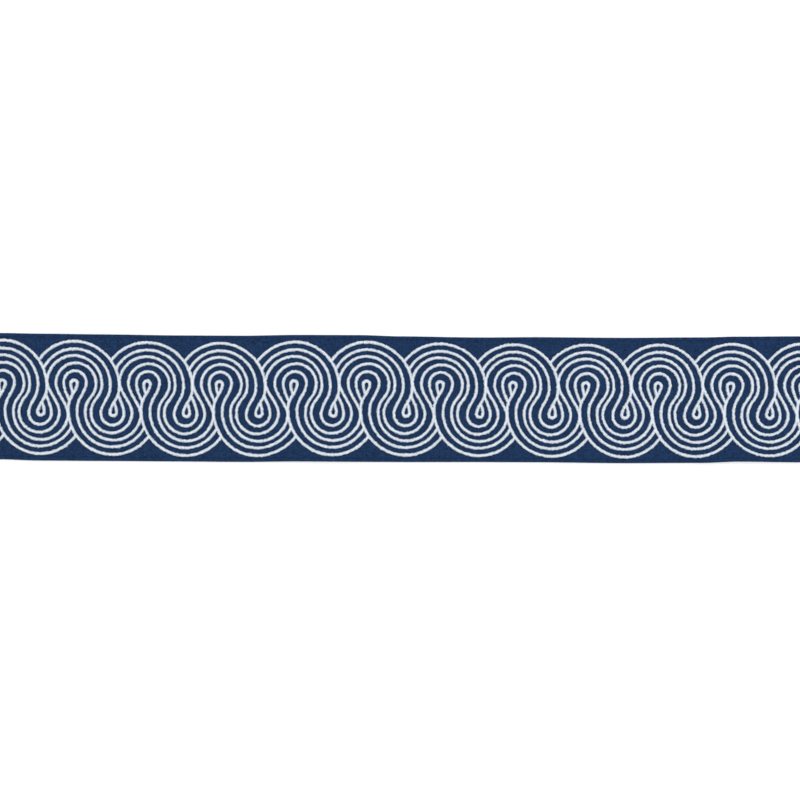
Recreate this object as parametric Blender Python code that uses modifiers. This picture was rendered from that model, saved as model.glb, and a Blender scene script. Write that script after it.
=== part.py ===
"""A flat cut length of embroidered trim: a woven tape with a raised, stitched wave scroll.

Units are metres, +Z is up. The tape lies face up along X on the plane z = 0, and the origin is
the bottom centre of its box.
"""

import math

import bmesh
import bpy
import numpy as np
from mathutils import Matrix

# The tape: a woven strip that thins a little across the selvedge along each long edge
TAPE_LENGTH = 0.4875
TAPE_WIDTH = 0.076
CLOTH_THICKNESS = 0.0013
SELVEDGE = 0.0021
SELVEDGE_SHARE = 0.77
EDGE_ROUNDING = 0.0003
TAPE_COLUMNS = 52
ROWS_BESIDE_FLAT = 4

# How unevenly the tape lies and was stitched. Each row is a section across it: its place along the tape,
# how far its middle strays sideways, the width of the tape there, and how far the stitching lies off its
# even place, along the tape and sideways.
SECTIONS = (
    # along, sideways, width, stitching along and sideways
    (-0.241, 0.00072, 0.0763, 0.00030, -0.00005),
    (-0.217, 0.00024, 0.0766, -0.00005, 0.00006),
    (-0.181, 0.00003, 0.0764, -0.00044, -0.00014),
    (-0.133, -0.00024, 0.0761, -0.00023, -0.00055),
    (-0.097, -0.00034, 0.0762, -0.00083, -0.00052),
    (-0.060, 0.00018, 0.0764, 0.00039, -0.00006),
    (-0.024, 0.00014, 0.0765, 0.00012, 0.00006),
    (0.000, -0.00020, 0.0759, 0.00031, 0.00004),
    (0.048, -0.00038, 0.0752, 0.00059, -0.00032),
    (0.084, -0.00024, 0.0755, 0.00030, -0.00049),
    (0.133, -0.00048, 0.0757, 0.00033, -0.00051),
    (0.181, -0.00012, 0.0758, -0.00050, -0.00029),
    (0.205, 0.00060, 0.0755, -0.00035, -0.00041),
    (0.241, 0.00060, 0.0761, -0.00060, -0.00030),
)

# The tape lies on a flat strip along its middle. Beside it the cloth curls up a little towards both
# edges, and more at a few lifts: the middle of each along the tape, its edge (1 is the far one, -1 the
# near one), the height it adds at the edge, and how far it reaches either way.
FLAT_HALF_WIDTH = 0.012
CURL = 0.00035
LIFTS = (
    # along, edge, height, reach
    (-0.188, 1, 0.0010, 0.050),
    (-0.050, -1, 0.0008, 0.045),
    (0.078, 1, 0.0012, 0.055),
    (0.205, -1, 0.0009, 0.040),
)

# The scroll: two staggered rows of centres with six rings about each. A band of six lines goes over an
# upper centre, drops under the next lower one and rises to the next upper one. The lower rings are the
# upper ones turned half round about a middle point on the tape's own middle line.
REPEAT = 0.0440
MIDDLE_POINT = -0.00842
ROW_STEP = 0.02376
ROW_DROP = 0.01740
RINGS = (
    # along and up from the innermost ring's centre, radius
    (0.00000, 0.00000, 0.00204),
    (0.00054, 0.00064, 0.00691),
    (0.00106, -0.00008, 0.01231),
    (0.00004, -0.00027, 0.01685),
    (0.00048, -0.00086, 0.02145),
    (0.00043, -0.00179, 0.02688),
)
OUTER = len(RINGS) - 1

# Where a line leaves its ring, as an angle past the level of the ring's centre: so much for every ring,
# and so much more for a ring with the whole share of the two radii that it joins. Then the length of the
# curve's handles, as a share of the distance.
DROP = (-15.0, 13.0, 0.40)
RISE = (-5.0, 29.5, 0.33)

# The section of a line, and how far the scroll lies off the cloth
LINE_WIDTH = 0.0019
CREST_WIDTH = 0.0009
LINE_HEIGHT = 0.0007
LAY_GAP = 0.0003

# How far a straight step may stray from a ring, the steps of a drop or rise, and how near is one point
STEP_SAG = 0.00030
JOIN_STEPS = 5
WELD_DISTANCE = 1e-6

# Edges that turn more than this are rounded on the tape, and stay crisp in the shading
SHARP_TURN = math.radians(60)

# Colour and roughness of each textile
NAVY_CLOTH = ((0.0152, 0.0382, 0.1000, 1.0), 0.85)
WHITE_THREAD = ((0.745, 0.791, 0.838, 1.0), 0.6)


def start_empty_scene():
    """Removes every object, and makes the collections for the trim and for its helpers."""
    for obj in list(bpy.data.objects):
        bpy.data.objects.remove(obj, do_unlink=True)
    made = {}
    for name in ("embroidered_trim", "helpers"):
        made[name] = bpy.data.collections.new(name)
        bpy.context.scene.collection.children.link(made[name])
    return made["embroidered_trim"], made["helpers"]


def cloth_material(name, colour, roughness):
    """A Principled BSDF of one colour, for a textile."""
    material = bpy.data.materials.new(name)
    material.use_nodes = True
    material.diffuse_color = colour
    shader = material.node_tree.nodes["Principled BSDF"]
    shader.inputs["Base Color"].default_value = colour
    shader.inputs["Roughness"].default_value = roughness
    shader.inputs["Metallic"].default_value = 0.0
    return material


def eased(along, column):
    """One column of the sections at each place along the tape, eased from one section to the next."""
    places, values = np.array(SECTIONS)[:, [0, column]].T
    after = np.clip(np.searchsorted(places, along, side="right"), 1, len(places) - 1)
    share = np.clip((along - places[after - 1]) / (places[after] - places[after - 1]), 0, 1)
    share = share * share * (3 - 2 * share)
    return values[after - 1] * (1 - share) + values[after] * share


def edge_of_tape(along, side):
    """Where an edge of the tape lies, sideways: half a width from its straying middle."""
    return eased(along, 1) + side * eased(along, 2) / 2


def lay(points):
    """Carries points of the flat, even tape to where they lie.

    The flat strip keeps its place. Beside it a point goes with the edge of the tape in proportion to
    its share of the way out: sideways as the edge strays, and up by that share squared as it curls.
    """
    along, across, height = points.T
    half = TAPE_WIDTH / 2
    side = np.sign(across)
    outward = np.clip((np.abs(across) - FLAT_HALF_WIDTH) / (half - FLAT_HALF_WIDTH), 0, 1)
    stray = np.where(side > 0, edge_of_tape(along, 1) - half, edge_of_tape(along, -1) + half)
    rise = np.full_like(along, CURL)
    for middle, edge, top, reach in LIFTS:
        near = np.clip(1 - np.abs(along - middle) / reach, 0, 1)
        rise += np.where(side == edge, top * near**2 * (3 - 2 * near), 0)
    places = np.linspace(-TAPE_LENGTH / 2, TAPE_LENGTH / 2, 10 * TAPE_COLUMNS)
    centring = (edge_of_tape(places, 1).max() + edge_of_tape(places, -1).min()) / 2
    laid_across = across + outward * stray - centring
    return np.column_stack([along, laid_across, height + rise * outward**2])


def lay_mesh(mesh):
    """Moves every vertex of a mesh as the tape lies, and shades it smooth but for its sharp edges."""
    points = np.empty(len(mesh.vertices) * 3, np.float32)
    mesh.vertices.foreach_get("co", points)
    laid = lay(points.reshape(-1, 3).astype(float))
    mesh.vertices.foreach_set("co", laid.astype(np.float32).ravel())
    mesh.shade_smooth()
    mesh.set_sharp_from_angle(angle=SHARP_TURN)
    mesh.update()


def woven_tape(collection):
    """The strip of cloth: a grid with a row of faces for each selvedge, thickened upwards."""
    half = TAPE_WIDTH / 2
    body = half - SELVEDGE
    beside = np.linspace(FLAT_HALF_WIDTH, body, ROWS_BESIDE_FLAT + 1)
    rows = np.array([-half, *-beside[::-1], *beside, half])
    shape = bmesh.new()
    bmesh.ops.create_grid(shape, x_segments=TAPE_COLUMNS, y_segments=len(rows) - 1, size=1.0)
    evenly = np.linspace(-1, 1, len(rows))
    for vertex in shape.verts:
        vertex.co.x *= TAPE_LENGTH / 2
        vertex.co.y = np.interp(vertex.co.y, evenly, rows)
    shape.verts.index_update()
    inner = [vertex.index for vertex in shape.verts if abs(vertex.co.y) < body + SELVEDGE / 2]
    mesh = bpy.data.meshes.new("woven_tape")
    shape.to_mesh(mesh)
    shape.free()
    lay_mesh(mesh)
    tape = bpy.data.objects.new("woven_tape", mesh)
    collection.objects.link(tape)
    full = tape.vertex_groups.new(name="full_thickness")
    full.add(inner, 1.0, "REPLACE")
    thicken = tape.modifiers.new("cloth thickness", "SOLIDIFY")
    thicken.thickness = CLOTH_THICKNESS
    thicken.offset = 1.0
    thicken.vertex_group = full.name
    thicken.thickness_vertex_group = SELVEDGE_SHARE
    soften = tape.modifiers.new("soft edges", "BEVEL")
    soften.width = EDGE_ROUNDING
    soften.segments = 2
    soften.limit_method = "ANGLE"
    soften.angle_limit = SHARP_TURN
    return tape


def ring_about(n, ring, row):
    """Centre and radius of a ring about upper centre n (row 1) or the lower centre after it (row -1)."""
    along, up, radius = RINGS[ring]
    across = row * (ROW_DROP / 2 + up)
    return np.array([MIDDLE_POINT + n * REPEAT - row * (ROW_STEP / 2 - along), across]), radius


def leaving_angle(ring, join):
    """How far past the level of its centre a line leaves this ring for a join, in degrees."""
    radius = RINGS[ring][2]
    return join[0] + join[1] * radius / (radius + RINGS[OUTER - ring][2])


def on_ring(n, ring, row, angle):
    """A point of a ring, and the way a line runs there: clockwise over an upper centre."""
    centre, radius = ring_about(n, ring, row)
    outward = np.array([math.cos(math.radians(angle)), math.sin(math.radians(angle))])
    return centre + radius * outward, row * np.array([outward[1], -outward[0]])


def bend(n, ring, row):
    """The line round a ring from left to right: over an upper centre, or under a lower one."""
    centre, radius = ring_about(n, ring, row)
    rise, drop = leaving_angle(ring, RISE), leaving_angle(ring, DROP)
    start, end = (180 - rise, drop) if row > 0 else (180 + drop, 360 - rise)
    turn = 2 * math.degrees(math.acos(1 - STEP_SAG / radius))
    steps = math.ceil(abs(end - start) / turn)
    angles = np.radians(np.linspace(start, end, steps + 1))
    return centre + radius * np.column_stack([np.cos(angles), np.sin(angles)])


def cubic_join(start, end, handle):
    """A cubic curve that leaves one point its way and reaches the other in that one's way."""
    (first, first_way), (last, last_way) = start, end
    reach = handle * math.dist(first, last)
    share = np.linspace(0, 1, JOIN_STEPS + 1)[:, None]
    rest = 1 - share
    near_first = 3 * rest**2 * share * (first + reach * first_way)
    near_last = 3 * rest * share**2 * (last - reach * last_way)
    return rest**3 * first + near_first + near_last + share**3 * last


def drop(n, ring):
    """From a ring over upper centre n down to the ring that the same line follows under lower centre n."""
    below = OUTER - ring
    start = on_ring(n, ring, 1, leaving_angle(ring, DROP))
    end = on_ring(n, below, -1, 180 + leaving_angle(below, DROP))
    return cubic_join(start, end, DROP[2])


def rise(n, ring):
    """From under lower centre n up to a ring over the next upper centre."""
    below = OUTER - ring
    start = on_ring(n, below, -1, 360 - leaving_angle(below, RISE))
    end = on_ring(n + 1, ring, 1, 180 - leaving_angle(ring, RISE))
    return cubic_join(start, end, RISE[2])


def crossed(ways, others):
    """The cross products of flat vectors."""
    return ways[..., 0] * others[..., 1] - ways[..., 1] * others[..., 0]


def up_to_cover(line, cover):
    """The line as far as its first crossing with the one that covers it."""
    start, step = line[:-1, None], np.diff(line, axis=0)[:, None]
    other, stride = cover[None, :-1], np.diff(cover, axis=0)[None]
    turn = crossed(step, stride)
    turn = np.where(turn == 0, np.nan, turn)
    share = crossed(other - start, stride) / turn
    cover_share = crossed(other - start, step) / turn
    met = (share >= 0) & (share <= 1) & (cover_share >= 0) & (cover_share <= 1)
    place = (np.arange(len(step))[:, None] + share)[met].min()
    whole = int(place)
    end = line[whole] + (place - whole) * step[whole, 0]
    return np.vstack([line[: whole + 1], end])


def tucked_line(n, ring):
    """A line from where it comes out from under the band before to where it goes under its own band."""
    cover = np.vstack([bend(n - 1, OUTER, 1), drop(n - 1, OUTER)[1:]])
    over = up_to_cover(bend(n, ring, 1)[::-1], cover)[::-1]
    tail = up_to_cover(rise(n, ring), drop(n, OUTER))
    return np.vstack([over, drop(n, ring)[1:], bend(n, OUTER - ring, -1)[1:], tail[1:]])


def as_stitched(line):
    """A line moved from its even place to where it was really stitched."""
    return line + np.column_stack([eased(line[:, 0], 3), eased(line[:, 0], 4)])


def scroll_lines(side):
    """The centre lines about the upper centres (side 1) or, turned half round, the lower ones (side -1).

    They are flat, and run past both ends of the tape. Ring 3 shows all the way, so it is one wave.
    Rings 4 and 5 come in pieces.
    """
    repeats = range(-math.ceil(TAPE_LENGTH / 2 / REPEAT) - 1, math.ceil(TAPE_LENGTH / 2 / REPEAT) + 2)
    parts = []
    for n in repeats:
        parts += [bend(n, 3, 1), drop(n, 3), bend(n, OUTER - 3, -1), rise(n, 3)]
    lines = [np.vstack([part[:-1] for part in parts])]
    lines += [tucked_line(n, ring) for n in repeats for ring in (4, 5)]
    if side < 0:
        lines = [np.array([2 * MIDDLE_POINT, 0.0]) - line for line in lines]
    return [as_stitched(line) for line in lines]


def line_profile(collection):
    """The cross-section of a stitched line, as a closed curve: a low mound with a narrow crest."""
    outline = (
        (-LINE_WIDTH / 2, 0.0),
        (LINE_WIDTH / 2, 0.0),
        (CREST_WIDTH / 2, LINE_HEIGHT),
        (-CREST_WIDTH / 2, LINE_HEIGHT),
    )
    curve = bpy.data.curves.new("line_profile", "CURVE")
    spline = curve.splines.new("POLY")
    spline.points.add(len(outline) - 1)
    for point, (x, y) in zip(spline.points, outline):
        point.co = (x, y, 0.0, 1.0)
    spline.use_cyclic_u = True
    profile = bpy.data.objects.new("line_profile", curve)
    profile.hide_render = True
    collection.objects.link(profile)
    return profile


def stitched_line(name, points, profile, collection):
    """One line as a solid: the profile carried along the points, made a mesh with its caps welded."""
    curve = bpy.data.curves.new(name, "CURVE")
    curve.dimensions = "2D"
    curve.bevel_mode = "OBJECT"
    curve.bevel_object = profile
    curve.use_fill_caps = True
    spline = curve.splines.new("POLY")
    spline.points.add(len(points) - 1)
    for point, (x, y) in zip(spline.points, points):
        point.co = (x, y, 0.0, 1.0)
    guide = bpy.data.objects.new(name + "_guide", curve)
    collection.objects.link(guide)
    evaluated = guide.evaluated_get(bpy.context.evaluated_depsgraph_get())
    mesh = bpy.data.meshes.new_from_object(evaluated)
    bpy.data.objects.remove(guide)
    shape = bmesh.new()
    shape.from_mesh(mesh)
    bmesh.ops.remove_doubles(shape, verts=shape.verts, dist=WELD_DISTANCE)
    bmesh.ops.recalc_face_normals(shape, faces=shape.faces)
    shape.to_mesh(mesh)
    shape.free()
    line = bpy.data.objects.new(name, mesh)
    line.hide_render = True
    line.display_type = "WIRE"
    collection.objects.link(line)
    return line


def length_box(collection):
    """A box as long as the tape and wider and taller than the scroll, to cut the lines off at its ends."""
    bpy.ops.mesh.primitive_cube_add(size=1)
    box = bpy.context.object
    box.name = "length_box"
    box.scale = (TAPE_LENGTH, 2 * TAPE_WIDTH, TAPE_WIDTH)
    box.hide_render = True
    box.display_type = "WIRE"
    for owner in list(box.users_collection):
        owner.objects.unlink(box)
    collection.objects.link(box)
    return box


def stitched_network(name, side, profile, box, collection, helpers):
    """One side's lines joined into one solid, cut off at the ends of the tape and laid on it."""
    waves = scroll_lines(side)
    start = stitched_line(name + "_line_0", waves[0], profile, helpers)
    others = bpy.data.collections.new(name + "_lines")
    helpers.children.link(others)
    for number, points in enumerate(waves[1:], 1):
        stitched_line(f"{name}_line_{number}", points, profile, others)
    join = start.modifiers.new("join the lines", "BOOLEAN")
    join.operation = "UNION"
    join.operand_type = "COLLECTION"
    join.collection = others
    join.solver = "EXACT"
    cut = start.modifiers.new("cut to length", "BOOLEAN")
    cut.operation = "INTERSECT"
    cut.object = box
    cut.solver = "EXACT"
    evaluated = start.evaluated_get(bpy.context.evaluated_depsgraph_get())
    mesh = bpy.data.meshes.new_from_object(evaluated)
    mesh.name = name
    for line in [start, *others.objects]:
        bpy.data.objects.remove(line)
    mesh.transform(Matrix.Translation((0, 0, CLOTH_THICKNESS + LAY_GAP)))
    lay_mesh(mesh)
    network = bpy.data.objects.new(name, mesh)
    collection.objects.link(network)
    return network


trim, helpers = start_empty_scene()
tape = woven_tape(trim)
tape.data.materials.append(cloth_material("navy_cloth", *NAVY_CLOTH))

# The outer lines about the upper centres never meet those about the lower ones, so they are two solids
white_thread = cloth_material("white_thread", *WHITE_THREAD)
profile = line_profile(helpers)
box = length_box(helpers)
for name, side in (("scroll_upper", 1), ("scroll_lower", -1)):
    network = stitched_network(name, side, profile, box, trim, helpers)
    network.data.materials.clear()
    network.data.materials.append(white_thread)
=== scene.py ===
# %% [markdown]
# # A cut length of embroidered trim
#
# The real piece is a navy tape, woven to width, with a white scroll worked over it in satin stitch.
# The imported model brings its three solids: the tape, and the two halves of the scroll. This lesson
# dresses them. The cloth gets a weave, a selvedge and the puckers that stitching leaves, and the scroll
# gets its threads, one by one. The first cell loads the solids, with their placement applied to their
# meshes.

# %% The solids
import math

import bpy
import numpy as np
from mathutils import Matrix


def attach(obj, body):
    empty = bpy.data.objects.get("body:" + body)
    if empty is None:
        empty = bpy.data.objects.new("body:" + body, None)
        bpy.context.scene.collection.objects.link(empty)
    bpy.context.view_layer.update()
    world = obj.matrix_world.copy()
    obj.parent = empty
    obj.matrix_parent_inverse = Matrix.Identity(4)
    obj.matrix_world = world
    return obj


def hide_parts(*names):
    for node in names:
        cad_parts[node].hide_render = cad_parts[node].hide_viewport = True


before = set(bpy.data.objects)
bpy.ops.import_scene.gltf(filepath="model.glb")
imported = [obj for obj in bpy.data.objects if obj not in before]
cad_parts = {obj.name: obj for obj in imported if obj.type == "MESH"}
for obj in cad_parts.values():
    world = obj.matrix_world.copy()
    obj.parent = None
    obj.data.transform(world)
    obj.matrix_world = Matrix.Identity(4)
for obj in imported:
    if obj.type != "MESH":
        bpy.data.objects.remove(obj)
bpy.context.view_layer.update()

# %% [markdown]
# ## How the tape lies
#
# Everything is drawn first on a flat, perfectly even tape, in metres: x runs along it, y across it, z up
# from the table. A last function then carries the points to where the real tape lies. Its edges stray by
# some tenths of a millimetre, and it curls up a little beside the flat strip along its middle. Drawing
# flat and laying last is how cloth is best modelled, because patterns are even only on the flat. The
# stitching strays too, because the cloth creeps in the machine, and that is in the same table.

# %% Measures of the tape
MM = 0.001
TAPE_LENGTH = 487.5 * MM
TAPE_WIDTH = 76 * MM
CLOTH_THICKNESS = 1.3 * MM
SELVEDGE = 2.1 * MM
SELVEDGE_SHARE = 0.77
FLAT_HALF_WIDTH = 12 * MM
CURL = 0.35 * MM
# Sections: place along, straying of the middle, width, and straying of the stitching along and across
SECTIONS = MM * np.array([
    (-241, 0.72, 76.3, 0.30, -0.05), (-217, 0.24, 76.6, -0.05, 0.06), (-181, 0.03, 76.4, -0.44, -0.14),
    (-133, -0.24, 76.1, -0.23, -0.55), (-97, -0.34, 76.2, -0.83, -0.52), (-60, 0.18, 76.4, 0.39, -0.06),
    (-24, 0.14, 76.5, 0.12, 0.06), (0, -0.20, 75.9, 0.31, 0.04), (48, -0.38, 75.2, 0.59, -0.32),
    (84, -0.24, 75.5, 0.30, -0.49), (133, -0.48, 75.7, 0.33, -0.51), (181, -0.12, 75.8, -0.50, -0.29),
    (205, 0.60, 75.5, -0.35, -0.41), (241, 0.60, 76.1, -0.60, -0.30),
])
# Lifts: place along, edge (1 far, -1 near), height, reach
LIFTS = (
    (-188 * MM, 1, 1.0 * MM, 50 * MM),
    (-50 * MM, -1, 0.8 * MM, 45 * MM),
    (78 * MM, 1, 1.2 * MM, 55 * MM),
    (205 * MM, -1, 0.9 * MM, 40 * MM),
)


# %% Laying points on the table
def eased(along, column):
    """One column of the sections, eased from each to the next by the share 3t² - 2t³."""
    places, values = SECTIONS[:, [0, column]].T
    after = np.clip(np.searchsorted(places, along, side="right"), 1, len(places) - 1)
    share = np.clip((along - places[after - 1]) / (places[after] - places[after - 1]), 0, 1)
    share = share * share * (3 - 2 * share)
    return values[after - 1] * (1 - share) + values[after] * share


def edge_of_tape(along, side):
    """The straying middle, plus or minus half the width there."""
    return eased(along, 1) + side * eased(along, 2) / 2


def lay(points):
    """Points of the flat tape where they lie.

    Share s runs from 0 at the flat strip to 1 at an edge. A point moves sideways by s times the edge's
    own straying, and rises by s² times the curl there.
    """
    along, across, height = points.T
    half = TAPE_WIDTH / 2
    side = np.sign(across)
    share = np.clip((np.abs(across) - FLAT_HALF_WIDTH) / (half - FLAT_HALF_WIDTH), 0, 1)
    stray = np.where(side > 0, edge_of_tape(along, 1) - half, edge_of_tape(along, -1) + half)
    rise = np.full_like(along, CURL)
    for middle, edge, top, reach in LIFTS:
        near = np.clip(1 - np.abs(along - middle) / reach, 0, 1)
        rise += np.where(side == edge, top * near**2 * (3 - 2 * near), 0)
    return np.column_stack([along, across + share * stray - CENTRING, height + rise * share**2])


places_along = np.linspace(-TAPE_LENGTH / 2, TAPE_LENGTH / 2, 520)  # about a millimetre apart
CENTRING = (edge_of_tape(places_along, 1).max() + edge_of_tape(places_along, -1).min()) / 2
print(f"the box's middle is {CENTRING / MM:.2f} mm off the tape's own middle line")

# %% [markdown]
# ## The camera and the light
#
# The photograph looks straight down on the tape, which leans by a fifth of a degree and runs out of the
# picture at both sides. A long lens keeps the scale even from edge to edge. Most of the light is a soft
# sky, because hard light would blow out the white thread and leave shadows on the table. Two large lamps
# give the threads a cool side and a warm one, as the flanks of the lines have in the photograph.

# %% The camera
LENS = 85.0
SENSOR = 36.0
VIEW_WIDTH = 482.6 * MM
TAPE_LEAN = math.radians(0.214)
VIEW_MIDDLE = -0.905 * MM

camera_data = bpy.data.cameras.new("camera")
camera_data.lens = LENS
camera_data.sensor_width = SENSOR
camera_data.dof.use_dof = False
camera = bpy.data.objects.new("camera", camera_data)
camera.location = (0, VIEW_MIDDLE, CLOTH_THICKNESS + VIEW_WIDTH * LENS / SENSOR)
camera.rotation_euler = (0, 0, TAPE_LEAN)
bpy.context.scene.collection.objects.link(camera)
bpy.context.scene.camera = camera
print(f"camera {camera.location.z:.3f} m above the table")


# %% The light
def soft_lamp(name, place, power, size, colour):
    """A square lamp that faces the middle of the tape."""
    lamp_data = bpy.data.lights.new(name, "AREA")
    lamp_data.energy = power
    lamp_data.size = size
    lamp_data.color = colour
    lamp = bpy.data.objects.new(name, lamp_data)
    lamp.location = place
    lamp.rotation_euler = (-lamp.location).to_track_quat("-Z", "Y").to_euler()
    bpy.context.scene.collection.objects.link(lamp)


soft_lamp("key lamp", place=(0.6, 1.3, 1.5), power=18.0, size=0.9, colour=(0.93, 0.97, 1.0))
soft_lamp("fill lamp", place=(-0.7, -1.1, 1.4), power=6.0, size=1.2, colour=(1.0, 0.97, 0.92))

SKY_STRENGTH = 0.80
sky = bpy.data.worlds.new("soft sky")
sky.use_nodes = True
sky_light = sky.node_tree.nodes["Background"]
sky_light.inputs["Color"].default_value = (1.0, 1.0, 1.0, 1.0)
sky_light.inputs["Strength"].default_value = SKY_STRENGTH
bpy.context.scene.world = sky
bpy.context.scene.view_settings.view_transform = "Standard"
print("lamps:", [lamp.name for lamp in bpy.data.lights], "and a sky of strength", SKY_STRENGTH)

# %% [markdown]
# ## Shader maths as plain sums
#
# A material's pattern is a formula, and node by node it would be hard to read. The small class below wraps
# a socket, so that `a * 2 + b` adds the Math nodes that work it out. Every other node comes from `node`,
# which takes the node's type, its settings and what goes into its sockets.


# %% Expressions
class Expression:
    """An output socket. Python's operators on it add the Math nodes that work the result out."""

    def __init__(self, tree, socket=None):
        self.tree, self.socket = tree, socket

    def node(self, kind, settings, sockets, output=0):
        """Adds one node: first its settings, then the values or links of its sockets."""
        made = self.tree.nodes.new(kind)
        for name, value in settings.items():
            setattr(made, name, value)
        for name, value in sockets.items():
            if isinstance(value, Expression):
                self.tree.links.new(value.socket, made.inputs[name])
            else:
                made.inputs[name].default_value = value
        return Expression(self.tree, made.outputs[output])

    def maths(self, operation, *values):
        """One Math node, with these values or links in its sockets."""
        return self.node("ShaderNodeMath", {"operation": operation}, dict(enumerate(values)))

    def __add__(self, other):
        return self.maths("ADD", self, other)

    def __sub__(self, other):
        return self.maths("SUBTRACT", self, other)

    def __rsub__(self, other):
        return self.maths("SUBTRACT", other, self)

    def __mul__(self, other):
        return self.maths("MULTIPLY", self, other)

    __radd__, __rmul__ = __add__, __mul__

    def mix(self, first, second):
        """The colour at this share of the way from the first colour to the second."""
        settings = {"data_type": "RGBA"}
        return self.node("ShaderNodeMix", settings, {0: self, 6: first, 7: second}, output=2)

    def noise(self, vector, scale, detail=2.0):
        """Smooth random numbers about 0.5, with so many waves a metre."""
        return self.node("ShaderNodeTexNoise", {}, {"Vector": vector, "Scale": scale, "Detail": detail})

    def shade_of(self, column, row):
        """A number from 0 to 1 of its own for each column and row."""
        cell = self.node("ShaderNodeCombineXYZ", {}, {0: column, 1: row})
        return self.node("ShaderNodeTexWhiteNoise", {"noise_dimensions": "2D"}, {"Vector": cell})


def finish_for(name, roughness, sheen, shine):
    """A new material for a textile, and its nodes as an empty expression."""
    material = bpy.data.materials.new(name)
    material.use_nodes = True
    shader = material.node_tree.nodes["Principled BSDF"]
    shader.inputs["Roughness"].default_value = roughness
    shader.inputs["Sheen Weight"].default_value = sheen
    shader.inputs["Specular IOR Level"].default_value = shine
    return material, shader, Expression(material.node_tree)


# %% [markdown]
# ## The woven cloth
#
# The tape is a close plain weave: warp threads run along it, weft threads across it, and each thread goes
# over one and under the next. Two sine waves give the height of each set, and the higher one shows. The
# shade of every thread changes along it, because yarn is spun unevenly and takes dye unevenly. Drawing
# each thread as a mesh would take millions of faces for something a fifth of a millimetre high, so the
# weave is colour and bump. The colour is also lighter on the threads' tops and darker in the hollows
# between them: painted shade.

# %% The weave
WARP_PITCH = 0.42 * MM
WEFT_PITCH = 0.50 * MM
THREAD_DRIFT = 3.0  # the most pitches that threads drift by from a straight run
DRIFT_SIZES = (9 * MM, 7 * MM)
SHADE_LENGTH = 4  # crossings along a thread over which it keeps one shade


def plain_weave(nodes, place, along, across):
    """Height of the thread on top, from 0 to 1, its own shade, and a fleck for each crossing.

    A thread's height is the size of a sine across it, which is half round, times a wave along it, which
    lifts it over every second thread of the other set. Warp and weft have waves half a turn apart.
    """
    drift = nodes.noise(place, 1 / DRIFT_SIZES[0])
    drift_too = nodes.noise(place, 1 / DRIFT_SIZES[1], detail=3.0)
    weft = along * (1 / WEFT_PITCH) + drift * THREAD_DRIFT
    warp = across * (1 / WARP_PITCH) + drift_too * THREAD_DRIFT
    weft_number = nodes.maths("FLOOR", weft)
    warp_number = nodes.maths("FLOOR", warp)
    warp_wave = nodes.maths("SINE", (weft + warp_number) * math.pi) * 0.5 + 0.5
    weft_wave = 0.5 - nodes.maths("SINE", (warp + weft_number) * math.pi) * 0.5
    warp_round = nodes.maths("ABSOLUTE", nodes.maths("SINE", warp * math.pi))
    weft_round = nodes.maths("ABSOLUTE", nodes.maths("SINE", weft * math.pi))
    warp_height = warp_round * warp_wave
    weft_height = weft_round * weft_wave
    height = nodes.maths("MAXIMUM", warp_height, weft_height)
    warp_shows = nodes.maths("GREATER_THAN", warp_height, weft_height)

    warp_shade = nodes.shade_of(nodes.maths("FLOOR", weft * (1 / SHADE_LENGTH)), warp_number)
    weft_shade = nodes.shade_of(weft_number, nodes.maths("FLOOR", warp * (1 / SHADE_LENGTH)) + 0.5)
    thread_shade = warp_shade * warp_shows + weft_shade * (1 - warp_shows)
    return height, thread_shade, nodes.shade_of(weft_number, warp_number)


# %% The navy cloth
GREENER_NAVY = np.array([0.0050, 0.0302, 0.0735])
VIOLET_NAVY = np.array([0.0114, 0.0232, 0.0786])
HUE_FROM, HUE_TO = 0.3, 0.7  # the mottle at which the navy is at its greenest and most violet
DARKEST, BRIGHTEST = 0.42, 1.58  # times either navy
# How much each adds to the light where it is 1, then what the sum loses and the ends of its scale.
# By height, the threads' tops are lighter and the hollows between them darker: painted shade.
LIGHTER = {"height": 0.42, "shade": 1.3, "fleck": 1.0, "cloud": 0.10, "mottle": 0.8}
LIGHT_LOSS = 0.67
DARK_AT, BRIGHT_AT = 0.25, 1.85
# Painted shade in the groove beside each selvedge: its half width, and how much darker it makes the cloth
GROOVE_HALF_WIDTH = 0.55 * MM
PAINTED_GROOVE_SHADE = 0.28
CLOUD_SIZE = 14 * MM
MOTTLE_SIZE = 0.9 * MM
FLAT_MAP = "flat_cloth"


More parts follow.
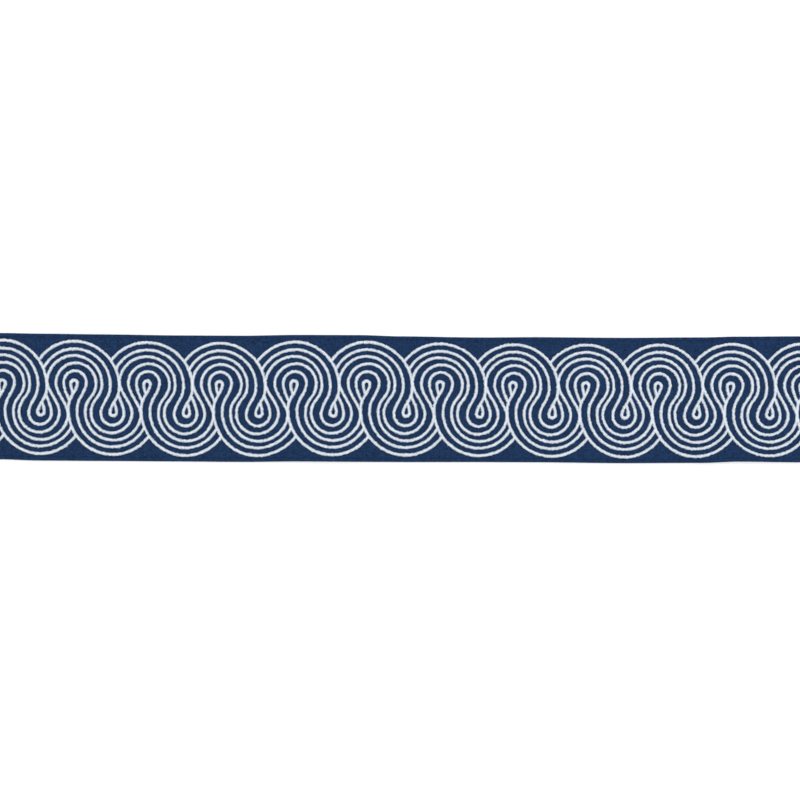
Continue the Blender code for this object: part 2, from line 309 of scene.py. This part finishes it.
def navy_cloth():
    """Plain weave on the flat cloth's own map, with painted shade in the groove beside each selvedge."""
    material, shader, nodes = finish_for("navy_cloth", roughness=0.85, sheen=0.03, shine=0.10)
    place = nodes.node("ShaderNodeUVMap", {"uv_map": FLAT_MAP}, {})
    along = nodes.node("ShaderNodeSeparateXYZ", {}, {0: place}, output=0)
    across = nodes.node("ShaderNodeSeparateXYZ", {}, {0: place}, output=1)
    height, shade, fleck = plain_weave(nodes, place, along, across)
    cloud = nodes.noise(place, 1 / CLOUD_SIZE, detail=3.0)
    mottle = nodes.noise(place, 1 / MOTTLE_SIZE)

    # Painted shade: by height, the threads' tops are lighter and the weave's hollows darker.
    light = height * LIGHTER["height"] + shade * LIGHTER["shade"] + fleck * LIGHTER["fleck"]
    light = light + cloud * LIGHTER["cloud"] + mottle * LIGHTER["mottle"] - LIGHT_LOSS
    # Painted shade: a darker band along the groove beside each selvedge.
    from_edge = TAPE_WIDTH / 2 - nodes.maths("ABSOLUTE", across)
    off_groove = nodes.maths("ABSOLUTE", from_edge - SELVEDGE)
    groove = 1 - nodes.node("ShaderNodeMapRange", {}, {0: off_groove, 1: 0.0, 2: GROOVE_HALF_WIDTH})
    light = light * (1 - groove * PAINTED_GROOVE_SHADE)
    share = nodes.node("ShaderNodeMapRange", {}, {0: light, 1: DARK_AT, 2: BRIGHT_AT})
    hue = nodes.node("ShaderNodeMapRange", {}, {0: mottle, 1: HUE_FROM, 2: HUE_TO})
    dark, bright = (
        hue.mix((*times * GREENER_NAVY, 1.0), (*times * VIOLET_NAVY, 1.0)) for times in (DARKEST, BRIGHTEST)
    )
    nodes.tree.links.new(share.mix(dark, bright).socket, shader.inputs["Base Color"])

    bump = {"Height": height + fleck * 0.3, "Distance": 0.12 * MM, "Strength": 0.6}
    bumped = nodes.node("ShaderNodeBump", {}, bump)
    nodes.tree.links.new(bumped.socket, shader.inputs["Normal"])
    return material


NAVY_CLOTH = navy_cloth()
print("the cloth's nodes:", len(NAVY_CLOTH.node_tree.nodes))

# %% [markdown]
# ## The scroll's lines
#
# The ornament is an old running interlace that anyone can draw with a compass. There are two staggered
# rows of centres, with six rings about each. A band of six lines goes over an upper centre, drops under
# the next lower one, and rises to the next upper one. The curves between rings are cubic, and leave each
# ring in its own direction. Turned half round about one point, the scroll falls on itself, so only three
# of the lines are worked out, and the other three are those turned.

# %% Rings
REPEAT = 44 * MM
MIDDLE_POINT = -8.42 * MM
ROW_STEP = 23.76 * MM
ROW_DROP = 17.40 * MM
RINGS = MM * np.array([  # along and up from the innermost ring's centre, radius
    (0.00, 0.00, 2.04), (0.54, 0.64, 6.91), (1.06, -0.08, 12.31),
    (0.04, -0.27, 16.85), (0.48, -0.86, 21.45), (0.43, -1.79, 26.88),
])
OUTER = len(RINGS) - 1
DROP = (-15.0, 13.0, 0.40)  # the angle of leaving for every ring, more by share of radius, and the handle
RISE = (-5.0, 29.5, 0.33)
ARC_STEP = 1.5
JOIN_STEPS = 24


def ring_about(n, ring, row):
    """Centre and radius of a ring about upper centre n (row 1) or the lower centre after it (-1)."""
    along, up, radius = RINGS[ring]
    across = row * (ROW_DROP / 2 + up)
    return np.array([MIDDLE_POINT + n * REPEAT - row * (ROW_STEP / 2 - along), across]), radius


def leaving_angle(ring, join):
    """First number plus the second times the ring's share of the two radii that the line joins."""
    radius = RINGS[ring, 2]
    return join[0] + join[1] * radius / (radius + RINGS[OUTER - ring, 2])


def bend(n, ring, row):
    """Round a ring, centre plus radius times (cosine, sine): over an upper centre or under a lower one."""
    centre, radius = ring_about(n, ring, row)
    rise, drop = leaving_angle(ring, RISE), leaving_angle(ring, DROP)
    start, end = (180 - rise, drop) if row > 0 else (180 + drop, 360 - rise)
    angles = np.radians(np.linspace(start, end, math.ceil(abs(end - start) / ARC_STEP) + 1))
    return centre + radius * np.column_stack([np.cos(angles), np.sin(angles)])


print("radii of the rings:", np.round(RINGS[:, 2] / MM, 1), "mm, repeated every", REPEAT / MM, "mm")


# %% Drops and rises
def on_ring(n, ring, row, angle):
    """A point of a ring, and the way a line runs there: clockwise over an upper centre."""
    centre, radius = ring_about(n, ring, row)
    outward = np.array([math.cos(math.radians(angle)), math.sin(math.radians(angle))])
    return centre + radius * outward, row * np.array([outward[1], -outward[0]])


def cubic_join(start, end, handle):
    """A cubic Bézier curve, whose handles are a share of the distance long, each in its end's own way."""
    (first, first_way), (last, last_way) = start, end
    reach = handle * math.dist(first, last)
    share = np.linspace(0, 1, JOIN_STEPS + 1)[:, None]
    rest = 1 - share
    near_first = 3 * rest**2 * share * (first + reach * first_way)
    near_last = 3 * rest * share**2 * (last - reach * last_way)
    return rest**3 * first + near_first + near_last + share**3 * last


def drop(n, ring):
    """From over upper centre n down to the ring that the same line follows under lower centre n."""
    below = OUTER - ring
    start = on_ring(n, ring, 1, leaving_angle(ring, DROP))
    return cubic_join(start, on_ring(n, below, -1, 180 + leaving_angle(below, DROP)), DROP[2])


def rise(n, ring):
    """From under lower centre n up to a ring over the next upper centre."""
    below = OUTER - ring
    start = on_ring(n, below, -1, 360 - leaving_angle(below, RISE))
    return cubic_join(start, on_ring(n + 1, ring, 1, 180 - leaving_angle(ring, RISE)), RISE[2])


# %% Lines
def crossed(ways, others):
    """The cross products of flat vectors."""
    return ways[..., 0] * others[..., 1] - ways[..., 1] * others[..., 0]


def up_to_cover(line, cover):
    """The line as far as its first crossing with the one that covers it, by crossing every two steps."""
    start, step = line[:-1, None], np.diff(line, axis=0)[:, None]
    other, stride = cover[None, :-1], np.diff(cover, axis=0)[None]
    turn = crossed(step, stride)
    turn = np.where(turn == 0, np.nan, turn)
    share = crossed(other - start, stride) / turn
    cover_share = crossed(other - start, step) / turn
    met = (share >= 0) & (share <= 1) & (cover_share >= 0) & (cover_share <= 1)
    place = (np.arange(len(step))[:, None] + share)[met].min()
    whole = int(place)
    return np.vstack([line[: whole + 1], line[whole] + (place - whole) * step[whole, 0]])


def tucked_line(n, ring):
    """From where a line comes out from under the band before to where it goes under its own band."""
    cover = np.vstack([bend(n - 1, OUTER, 1), drop(n - 1, OUTER)[1:]])
    over = up_to_cover(bend(n, ring, 1)[::-1], cover)[::-1]
    tail = up_to_cover(rise(n, ring), drop(n, OUTER))
    return np.vstack([over, drop(n, ring)[1:], bend(n, OUTER - ring, -1)[1:], tail[1:]])


def lines_of(ring, side):
    """A ring's lines as they were stitched: ring 3 is one wave, and rings 4 and 5 are a line a repeat."""
    ends = math.ceil(TAPE_LENGTH / 2 / REPEAT)
    repeats = range(-ends - 1, ends + 2)
    if ring == 3:
        parts = [
            part[:-1] for n in repeats
            for part in (bend(n, ring, 1), drop(n, ring), bend(n, OUTER - ring, -1), rise(n, ring))
        ]
        lines = [np.vstack(parts)]
    else:
        lines = [tucked_line(n, ring) for n in repeats]
    if side < 0:
        lines = [np.array([2 * MIDDLE_POINT, 0.0]) - line for line in lines]
    return [line + np.column_stack([eased(line[:, 0], 3), eased(line[:, 0], 4)]) for line in lines]


line_lengths = [np.hypot(*np.diff(lines_of(ring, 1)[-1], axis=0).T).sum() for ring in (3, 4, 5)]
print("length of a whole wave and of one line of rings 4 and 5:", np.round(line_lengths, 3), "m")

# %% [markdown]
# ## Where each stitch falls
#
# Satin stitch fills a line with threads side by side, straight across it. Round a bend the needle keeps
# its spacing at the outside, so the stitches fan out from the inside, as spokes do. So a stitch's place is
# counted off along the outside edge: the length of the line, plus half the line's width times its turning.
# The smallest loops crowd so many stitches that they come out a little bolder and duller. So each stitch
# also keeps how tightly the line turns there.

# %% Stitch places
STITCH_PITCH = 0.40 * MM
LINE_HALF_WIDTH = 0.95 * MM
TUCK = 0.75 * MM
NEAR_STITCHES = 13
PAST_CUT = 0.3 * MM  # a stitch whose middle lies this far past a cut still reaches over the tape


def stitch_places(line):
    """Middle, heading and tightness of each stitch, evenly spaced in length plus half width times turning.

    Tightness is the turning to the left in radians a millimetre, averaged over the stitches near by.
    """
    steps = np.diff(line, axis=0)
    lengths = np.hypot(*steps.T)
    headings = np.unwrap(np.arctan2(steps[:, 1], steps[:, 0]))
    turning = np.gradient(headings)
    outside = np.concatenate([[0], np.cumsum(lengths + LINE_HALF_WIDTH * np.abs(turning))])
    count = int((outside[-1] - 2 * TUCK) / STITCH_PITCH)
    wanted = np.linspace(TUCK, outside[-1] - TUCK, count)
    middles = np.column_stack([np.interp(wanted, outside, line[:, axis]) for axis in (0, 1)])
    heading = np.interp(wanted, (outside[1:] + outside[:-1]) / 2, headings)
    tightness = np.interp(wanted, outside[1:], turning / lengths) * MM
    near = np.ones(NEAR_STITCHES) / NEAR_STITCHES
    return np.column_stack([middles, heading, np.convolve(tightness, near, mode="same")])


def stitches_of(ring, side):
    """The stitches of all of a ring's lines that lie on the tape."""
    places = np.vstack([stitch_places(line) for line in lines_of(ring, side)])
    return places[np.abs(places[:, 0]) < TAPE_LENGTH / 2 + PAST_CUT]


STITCHES = {(ring, side): stitches_of(ring, side) for side in (1, -1) for ring in (3, 4, 5)}
print("stitches of each ring:", [len(places) for places in STITCHES.values()])

# %% [markdown]
# ## The cloth's shape
#
# The tape's section is a closed loop: flat on top, a groove where the firm selvedge begins, a rounded
# edge, and flat below. It is carried along the tape as a grid, so that the top can have relief. Stitching
# pulls the cloth down along each line, and it puffs up between them. The height of a point depends on its
# distance from the nearest line, which is worked out against the stitches of one stretch at a time. Every
# piece has a second map as well, where no two faces share a place, for baking its material to a picture.


# %% One mesh from arrays
BAKE_MAP = "OFBake"


def piece(name, points, faces, maps, values=None):
    """Puts points, faces, maps by face corner and values by point into a mesh, and rides it."""
    mesh = bpy.data.meshes.new(name)
    mesh.from_pydata(points.tolist(), [], faces)
    for map_name, places in maps.items():
        mesh.uv_layers.new(name=map_name).uv.foreach_set("vector", places.astype(np.float32).ravel())
    for value_name, numbers in (values or {}).items():
        value = mesh.attributes.new(value_name, "FLOAT", "POINT")
        value.data.foreach_set("value", numbers.astype(np.float32))
    mesh.shade_smooth()
    made = bpy.data.objects.new(name, mesh)
    bpy.context.scene.collection.objects.link(made)
    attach(made, "root")
    print(f"{name}: {sum(len(face) - 2 for face in faces)} triangles")
    return made


# %% The section of the tape
EDGE_ROUNDING = 0.32 * MM
ROUNDING_ANGLES = (15, 40, 65, 90)
FLAT_TO = 2.6 * MM  # the flat top ends this far from the edge
TOP_ROWS = 48
SELVEDGE_ROWS = MM * np.array([  # distance from the edge, and height over the cloth's top
    (2.35, -0.04), (2.10, -0.22), (1.85, -0.09), (1.40, -0.10),
])
RIM_ROWS = MM * np.array([(0.80, 0.10), (0.42, 0.03)])  # the same, but over the rim
BOTTOM_ROWS = MM * np.array([36, 30, 24, 18, 12, 6, 0])


def half_section():
    """From the middle of the top round the edge to the middle of the bottom: (across, height) rows.

    The rim is rounded by two quarter circles: radius times (1 - sine, 1 - cosine) in from its corners.
    """
    half = TAPE_WIDTH / 2
    rim = SELVEDGE_SHARE * CLOTH_THICKNESS
    top = [(across, CLOTH_THICKNESS) for across in np.linspace(0, half - FLAT_TO, TOP_ROWS)]
    firm = [*(SELVEDGE_ROWS + (0, CLOTH_THICKNESS)), *(RIM_ROWS + (0, rim))]
    turn = np.radians(ROUNDING_ANGLES)
    corner_in, corner_down = EDGE_ROUNDING * (1 - np.sin(turn)), EDGE_ROUNDING * (1 - np.cos(turn))
    upper_turn = np.column_stack([corner_in, rim - corner_down])
    lower_turn = upper_turn[::-1] * (1, -1) + (0, rim)
    edge = [(half - out, height) for out, height in (*firm, *upper_turn, *lower_turn)]
    bottom = [(across, 0.0) for across in BOTTOM_ROWS]
    return np.array(top + edge + bottom)


def closed_section():
    """The half section mirrored and joined: rows of (across, height), and their place round the loop."""
    right = half_section()
    left = right[::-1] * (-1, 1)
    loop = np.vstack([left, right[1:]])
    round_the_loop = np.concatenate([[0], np.cumsum(np.hypot(*np.diff(loop, axis=0).T))])
    return loop[:-1], round_the_loop - round_the_loop[-1] / 2


print("points round the section:", len(closed_section()[0]))


# %% Relief from the stitching
NEAR = 6 * MM
STRETCH = 20  # columns of the grid that are set against the same stitches
SUNK, SUNK_REACH = 0.13, 1.15  # in mm, as in the next two lines
PUFFED, PUFFED_REACH = 0.13, 1.9
SWELL = 0.03


def from_nearest_line(along, across):
    """Distance from each point of a grid to the nearest stitch, one stretch of the tape at a time."""
    stitches = np.vstack(list(STITCHES.values()))[::2, :2]
    distance = np.full((len(along), len(across)), np.inf)
    for start in range(0, len(along), STRETCH):
        part = along[start : start + STRETCH]
        close = stitches[(stitches[:, 0] > part[0] - NEAR) & (stitches[:, 0] < part[-1] + NEAR)]
        sideways = (across[:, None] - close[:, 1]) ** 2
        for column, x in enumerate(part, start):
            distance[column] = np.sqrt(((x - close[:, 0]) ** 2 + sideways).min(axis=1))
    return distance


def relief(along, across):
    """Sunk by a bell curve about each line, puffed up away from it, and two slow sine waves over all."""
    distance = from_nearest_line(along, across) / MM
    sunk = SUNK * np.exp(-((distance / SUNK_REACH) ** 2))
    puffed = PUFFED * (1 - np.exp(-((distance / PUFFED_REACH) ** 2)))
    x, y = along[:, None] / MM, across[None, :] / MM
    swell = SWELL * np.sin(x / 9.1 + y / 13) + SWELL * np.sin(x / 23 - y / 7.3)
    return MM * (puffed - sunk + swell - SWELL)


# %% The tape's grid
COLUMNS = 650
RELIEF_TO = 3 * MM  # no relief nearer to the edge than this


def tape_points(section):
    """The section at each column, as flat points: its top is raised and sunk by the relief."""
    along = np.linspace(-TAPE_LENGTH / 2, TAPE_LENGTH / 2, COLUMNS + 1)
    heights = np.tile(section[:, 1], (COLUMNS + 1, 1))
    top = (section[:, 1] == CLOTH_THICKNESS) & (np.abs(section[:, 0]) < TAPE_WIDTH / 2 - RELIEF_TO)
    raised = relief(along, section[top, 0])
    heights[:, top] += raised
    print(f"relief from {raised.min() / MM:.2f} to {raised.max() / MM:.2f} mm")
    xs = np.repeat(along[:, None], len(section), axis=1)
    ys = np.tile(section[:, 0], (COLUMNS + 1, 1))
    return along, np.column_stack([xs.ravel(), ys.ravel(), heights.ravel()])


def wall_faces(rows):
    """Faces from each column to the next, and the column and the row round the loop of their corners."""
    column, row = np.meshgrid(np.arange(COLUMNS), np.arange(rows), indexing="ij")
    corners = [(column, row), (column + 1, row), (column + 1, row + 1), (column, row + 1)]
    faces = np.stack([c * rows + r % rows for c, r in corners], axis=-1).reshape(-1, 4)
    return faces, corners


# %% The tape
WALLS_PATCH = np.array([(0.01, 0.01), (0.98, 0.92)])  # corner and size in the picture for the bake
CUT_MIDDLES = ((0.25, 0.96), (0.75, 0.96))
CUT_SCALE = (5.5, 10.0)
SHARP_TURN = math.radians(55)


def woven_tape():
    """Walls between the columns and a flat face at each cut make a closed tube of cloth.

    On the cloth's own map a wall's corner is (along, place round the section), and a cut's is
    (along less height, across).
    """
    section, place = closed_section()
    along, flat = tape_points(section)
    walls, corners = wall_faces(len(section))
    loop = np.arange(len(section))
    cuts = [loop, COLUMNS * len(section) + loop[::-1]]

    walls_map = np.stack([np.stack([along[c], place[r]], -1) for c, r in corners], axis=2).reshape(-1, 2)
    cuts_map = [np.column_stack([flat[cut, 0] - flat[cut, 2], flat[cut, 1]]) for cut in cuts]
    corner, size = WALLS_PATCH
    walls_spot = corner + size * (walls_map - walls_map.min(axis=0)) / np.ptp(walls_map, axis=0)
    cuts_spot = [middle + flat[cut, 1:] * CUT_SCALE for middle, cut in zip(CUT_MIDDLES, cuts)]
    maps = {FLAT_MAP: np.vstack([walls_map, *cuts_map]), BAKE_MAP: np.vstack([walls_spot, *cuts_spot])}
    tape = piece("tape_cloth", lay(flat), walls.tolist() + [cut.tolist() for cut in cuts], maps)
    tape.data.set_sharp_from_angle(angle=SHARP_TURN)
    tape.data.materials.append(NAVY_CLOTH)
    return tape


tape_cloth = woven_tape()
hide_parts("woven_tape")

# %% [markdown]
# ## Threads as tubes
#
# Stitches and the cut ends of the warp are all short lengths of thread, so one function builds them all at
# once. Each thread is a tube of four-sided rings, and all its points come from one array sum: the ring's
# middle, plus the way along or up times the thread's half width. Smooth shading makes four sides look
# round, and keeps a stitch to 36 triangles. When the piece is baked to pictures, each thread gets a square
# cell of the picture to itself.

# %% Tubes of thread
AROUND = 4
TURNS = np.arange(AROUND) * 2 * np.pi / AROUND
CAP_DEPTH = 0.3  # how far the caps fold out in a cell, where a ring is 1 from the next


def tube_corners(rings):
    """Station and turn of each face corner of a tube: the walls, then a cap at its start and its end."""
    station, turn = np.meshgrid(np.arange(rings - 1), np.arange(AROUND), indexing="ij")
    corners = [(station, turn), (station + 1, turn), (station + 1, turn + 1), (station, turn + 1)]
    walls = np.stack([np.stack(corner, axis=-1) for corner in corners], axis=2).reshape(-1, 4, 2)
    once_round = np.arange(AROUND)
    start = np.column_stack([0 * once_round, once_round])
    end = np.column_stack([0 * once_round + rings - 1, once_round[::-1]])
    return np.concatenate([walls, [start, end]])


def tube_faces(tubes, rings):
    """Faces of many closed tubes, whose points are in order of tube, station and turn."""
    station, turn = np.moveaxis(tube_corners(rings), 2, 0)
    one = station * AROUND + turn % AROUND
    return (one + (np.arange(tubes) * rings * AROUND)[:, None, None]).reshape(-1, 4)


def tube_cells(tubes, rings):
    """The cell of each tube: u from 0.5 to rings - 0.5 along it, v round it, and caps folded out in u."""
    corners = tube_corners(rings) + 0.5
    corners[-2:, 1:3, 0] += [[-CAP_DEPTH], [CAP_DEPTH]]
    columns = math.ceil(math.sqrt(tubes))
    cell = np.column_stack(np.divmod(np.arange(tubes), columns))
    return ((cell[:, None, None] + corners / (rings, AROUND + 1)) / columns).reshape(-1, 2)


def signed_volume(points, faces):
    """Volume inside faces of four corners, by the divergence theorem. It is negative if they face in."""
    a, b, c, d = (points[faces[:, corner]] for corner in range(4))
    return float((np.cross(a, b) * c).sum() + (np.cross(a, c) * d).sum()) / 6


print("faces of a tube of five rings:", len(tube_faces(1, 5)))

# %% [markdown]
# ## Satin stitches
#
# A stitch rises out of the cloth at one side of the line, arches over to the other side and dives in
# again. The next one leans the other way, because the needle zigzags. No two are quite alike: the side
# points wander by about a tenth of a millimetre, which gives the line the slightly ragged edge of real
# machine embroidery, and now and then one stitch stands out further. Thread tension drifts slowly, so
# part of the unevenness is shared with the stitches before and after. The random numbers have a fixed
# seed, so the lines come out the same every time.

# %% How far the stitches reach
UNEVEN_TOGETHER, UNEVEN_ALONE = 0.10, 0.063  # spreads in mm
LONG_STITCH_SHARE = 0.0025
LONG_STITCH_EXTRA = 0.35 * MM
TIGHTEST = 0.4  # radians a millimetre
BOLDER = 0.08 * MM
random = np.random.default_rng(27)


def shared_noise(count, spread):
    """Two numbers a stitch with this spread, each a third shared with the stitch before and after."""
    single = random.normal(0, spread, (count + 2, 2))
    return (single[:-2] + single[1:-1] + single[2:]) / math.sqrt(3)


def bend_share(places):
    """How tightly the line bends at each stitch: 1 at the tightest to the left, -1 to the right."""
    return np.clip(places[:, 3:] / TIGHTEST, -1, 1)


def stitch_reach(places):
    """Half the line's width with its unevenness to the right and left, and more on the inside of a bend."""
    count = len(places)
    uneven = shared_noise(count, UNEVEN_TOGETHER) + random.normal(0, UNEVEN_ALONE, (count, 2))
    long_ones = random.random((count, 2)) < LONG_STITCH_SHARE
    inside = np.clip(bend_share(places) * (-1, 1), 0, 1)
    return LINE_HALF_WIDTH + MM * uneven + LONG_STITCH_EXTRA * long_ones + BOLDER * inside**2


# %% The form of the stitches
ARCH = np.array([  # share of the half width, height over the cloth in mm, half width and depth of thread
    (-1.00, -0.24, 0.13, 0.07),
    (-0.84, 0.44, 0.21, 0.15),
    (0.00, 0.70, 0.225, 0.17),
    (0.84, 0.44, 0.21, 0.15),
    (1.00, -0.24, 0.13, 0.07),
])
STITCH_LEAN = 0.45 * STITCH_PITCH
UNEVEN_ALONG = 0.03  # spread in mm
UNEVEN_HEIGHT = 0.06  # spread as a share of the height


def stitch_points(places, over):
    """Points of every stitch's rings, and how far out of the line's middle each ring is.

    A ring's middle is the stitch's own, plus sideways times its reach and forward times its lean. About
    it go forward times the thread's half width times a cosine, and up times its half depth times a sine.
    """
    count = len(places)
    heading = places[:, 2]
    forward = np.column_stack([np.cos(heading), np.sin(heading)])
    sideways = np.column_stack([-np.sin(heading), np.cos(heading)])
    share, height, half_width, half_depth = ARCH.T

    reach = stitch_reach(places)
    out = np.where(share < 0, reach[:, :1] * share, reach[:, 1:] * share)
    lean = np.where(np.arange(count) % 2, 1, -1) * STITCH_LEAN
    along = lean[:, None] * share + MM * random.normal(0, UNEVEN_ALONG, (count, 1))
    swell = 1 + random.normal(0, UNEVEN_HEIGHT, (count, 1))
    up = CLOTH_THICKNESS + over + MM * (height * np.where(height > 0, swell, 1))

    middle = places[:, None, :2] + out[..., None] * sideways[:, None] + along[..., None] * forward[:, None]
    width = MM * half_width[:, None] * np.cos(TURNS)
    spot = middle[:, :, None] + width[..., None] * forward[:, None, None]
    x = np.clip(spot[..., 0], -TAPE_LENGTH / 2, TAPE_LENGTH / 2)
    z = up[:, :, None] + MM * half_depth[:, None] * np.sin(TURNS)
    return np.stack([x, spot[..., 1], z], axis=-1).reshape(-1, 3), out


# %% One ring's stitches
SHADE_TOGETHER, SHADE_ALONE = 0.23, 0.12  # spreads
DULLER = 0.45  # what the tightest bend takes off the shade
THREAD_MAP = "thread"


def satin(name, ring, side, over):
    """One piece of satin stitches, each with its own shade, that lies so far over the cloth."""
    places = STITCHES[ring, side]
    count, rings = len(places), len(ARCH)
    points, out = stitch_points(places, over)
    faces = tube_faces(count, rings)
    print(f"{name}: {signed_volume(points, faces) / MM**3:.0f} cubic mm of thread in {count} stitches")

    shade = 0.5 + shared_noise(count, SHADE_TOGETHER)[:, 0] + random.normal(0, SHADE_ALONE, count)
    shade -= DULLER * bend_share(places)[:, 0] ** 2
    length = np.repeat(out.ravel(), AROUND)[faces.ravel()] / MM
    around = np.tile(tube_corners(rings)[..., 1].ravel() / AROUND, count)
    maps = {THREAD_MAP: np.column_stack([around, length]), BAKE_MAP: tube_cells(count, rings)}
    made = piece(name, lay(points), faces.tolist(), maps, {"shade": np.repeat(shade, rings * AROUND)})
    made.data.materials.append(WHITE_THREAD)
    return made


# %% [markdown]
# ## White thread
#
# Embroidery thread is twisted from fine filaments, so it has a soft shine, and each stitch catches the
# light a little differently. The shade of each stitch is stored on its points as a number, and the
# material turns it into a slightly greyer or whiter thread. The whiter one is warm in some places and
# cool in others. Fine ridges along the thread are bump, and their raised parts are whiter: painted
# highlight.

# %% The white thread
SHADED_WHITE = (0.69, 0.75, 0.83, 1.0)
WARM_WHITE = (0.850, 0.875, 0.905, 1.0)
COOL_WHITE = (0.803, 0.879, 0.980, 1.0)
TINT_SIZE = 2.2 * MM
TINT_FROM, TINT_TO = 0.35, 0.65
FILAMENTS = (26.0, 1.5, 1.0)  # across the thread for each turn round it, and along it for each millimetre
# The filaments' share whitens the thread where its ridges stand higher: painted highlight.
BY_SHADE, BY_FILAMENT_HIGHLIGHT = 0.8, 0.3  # how far towards the brighter white


def white_thread():
    """A shade a stitch, and filament ridges along the thread, whiter where they stand higher: painted
    highlight.
    """
    material, shader, nodes = finish_for("white_thread", roughness=0.55, sheen=0.15, shine=0.3)
    shade = nodes.node("ShaderNodeAttribute", {"attribute_name": "shade"}, {}, output=2)
    place = nodes.node("ShaderNodeUVMap", {"uv_map": THREAD_MAP}, {})
    fine = nodes.node("ShaderNodeVectorMath", {"operation": "MULTIPLY"}, {0: place, 1: FILAMENTS})
    filaments = nodes.noise(fine, 1.0, detail=1.0)
    # Painted highlight: the filament noise that raises the ridges also whitens them.
    lit = nodes.maths("MAXIMUM", shade * BY_SHADE + filaments * BY_FILAMENT_HIGHLIGHT, 0.0)
    share = nodes.maths("MINIMUM", lit, 1.0)
    spot = nodes.node("ShaderNodeTexCoord", {}, {}, output=3)
    cloud = nodes.noise(spot, 1 / TINT_SIZE)
    tint = nodes.node("ShaderNodeMapRange", {}, {0: cloud, 1: TINT_FROM, 2: TINT_TO})
    bright = tint.mix(WARM_WHITE, COOL_WHITE)
    nodes.tree.links.new(share.mix(SHADED_WHITE, bright).socket, shader.inputs["Base Color"])
    bump = {"Height": filaments, "Distance": 0.03 * MM, "Strength": 0.4}
    nodes.tree.links.new(nodes.node("ShaderNodeBump", {}, bump).socket, shader.inputs["Normal"])
    return material


WHITE_THREAD = white_thread()
print("the thread's nodes:", len(WHITE_THREAD.node_tree.nodes))

# %% [markdown]
# ## The six rings
#
# The stitching could be one mesh, but six pieces, one a ring, keep each small enough to handle. The
# outermost ring was stitched last, so it lies a little over the lines that end against it.

# %% The six rings
HEIGHTS = {3: 0.0, 4: 0.0, 5: 0.10 * MM}
UPPER = [satin(f"satin_upper_{ring}", ring, 1, over) for ring, over in HEIGHTS.items()]
LOWER = [satin(f"satin_lower_{ring}", ring, -1, over) for ring, over in HEIGHTS.items()]
for line in UPPER:
    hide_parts("scroll_upper")
for line in LOWER:
    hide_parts("scroll_lower")

# %% [markdown]
# ## The cut ends
#
# Scissors leave the warp threads ending almost flush, with a few tenths of a millimetre of each showing.
# They are the same tubes as the stitches, in two layers, each a little longer or shorter than the next.


# %% Cut warp threads
LAYERS = MM * np.array([0.36, 0.86])  # heights over the table
FRAY = np.array([(-0.5, 0.19), (0.1, 0.18), (1.0, 0.11)])  # share of the reach, half width in mm
END_STEP = 1.15 * WARP_PITCH
OFF_EDGE = 0.6 * MM
SHORTEST, SPAN = 0.10, 0.32  # mm that a thread sticks out by, and what the longest has more
BENT, SHIFTED = 0.10, 0.05  # spreads in mm


def cut_threads():
    """Threads in two layers that stick out by random lengths, turned half round for the left cut."""
    half = TAPE_WIDTH / 2 - OFF_EDGE
    across = np.arange(-half, half, END_STEP)
    ends = np.array([(end, y, z) for end in (-1, 1) for z in LAYERS for y in across])
    count = len(ends)
    share, half_width = FRAY.T
    reach = MM * (SHORTEST + SPAN * random.random(count) ** 2)
    x = TAPE_LENGTH / 2 + reach[:, None] * share
    bent = MM * random.normal(0, BENT, (2, count, 1)) * np.clip(share, 0, 1)
    y = ends[:, 1:2] + bent[0] + MM * random.normal(0, SHIFTED, (count, 1))
    z = ends[:, 2:3] + bent[1] * 0.5
    width = MM * half_width[:, None]
    half_turn = ends[:, :1, None]
    points = np.stack([
        half_turn * np.repeat(x[:, :, None], AROUND, axis=2),
        half_turn * (y[:, :, None] + width * np.cos(TURNS)),
        z[:, :, None] - width * np.sin(TURNS),
    ], axis=-1).reshape(-1, 3)
    faces = tube_faces(count, len(FRAY))
    print(f"{count} cut threads, {signed_volume(points, faces) / MM**3:.0f} cubic mm")
    maps = {FLAT_MAP: points[faces.ravel(), :2], BAKE_MAP: tube_cells(count, len(FRAY))}
    made = piece("cut_threads", lay(points), faces.tolist(), maps)
    made.data.materials.append(NAVY_CLOTH)
    return made


warp_ends = cut_threads()

# %% [markdown]
# ## The cloth's size, and the table
#
# The frame wants to know which piece is cloth and the size it was cut to. The table isn't part of the
# trim: it only catches the light.

# %% The sheet
print(f"a sheet of {TAPE_WIDTH / MM:.1f} by {TAPE_LENGTH / MM:.1f} mm")

# %% The table
TABLE_SIZE = 80.0
TABLE_GREY = 0.93
TABLE_GLOW = 0.25
TABLE_DROP = 0.05 * MM  # under the tape, so that two faces never share a place

table_corners = np.array([(-1, -1, 0), (1, -1, 0), (1, 1, 0), (-1, 1, 0)]) * TABLE_SIZE / 2
table_mesh = bpy.data.meshes.new("table")
table_mesh.from_pydata((table_corners - (0, 0, TABLE_DROP)).tolist(), [], [(0, 1, 2, 3)])
table = bpy.data.objects.new("table", table_mesh)
bpy.context.scene.collection.objects.link(table)
table_material, table_shader, _ = finish_for("pale table", roughness=0.9, sheen=0.0, shine=0.1)
table_shader.inputs["Base Color"].default_value = (TABLE_GREY, TABLE_GREY, TABLE_GREY, 1.0)
table_shader.inputs["Emission Color"].default_value = (1.0, 1.0, 1.0, 1.0)
table_shader.inputs["Emission Strength"].default_value = TABLE_GLOW
table_mesh.materials.append(table_material)
print(f"a table {TABLE_SIZE:.0f} m wide, {TABLE_DROP / MM} mm under the tape")
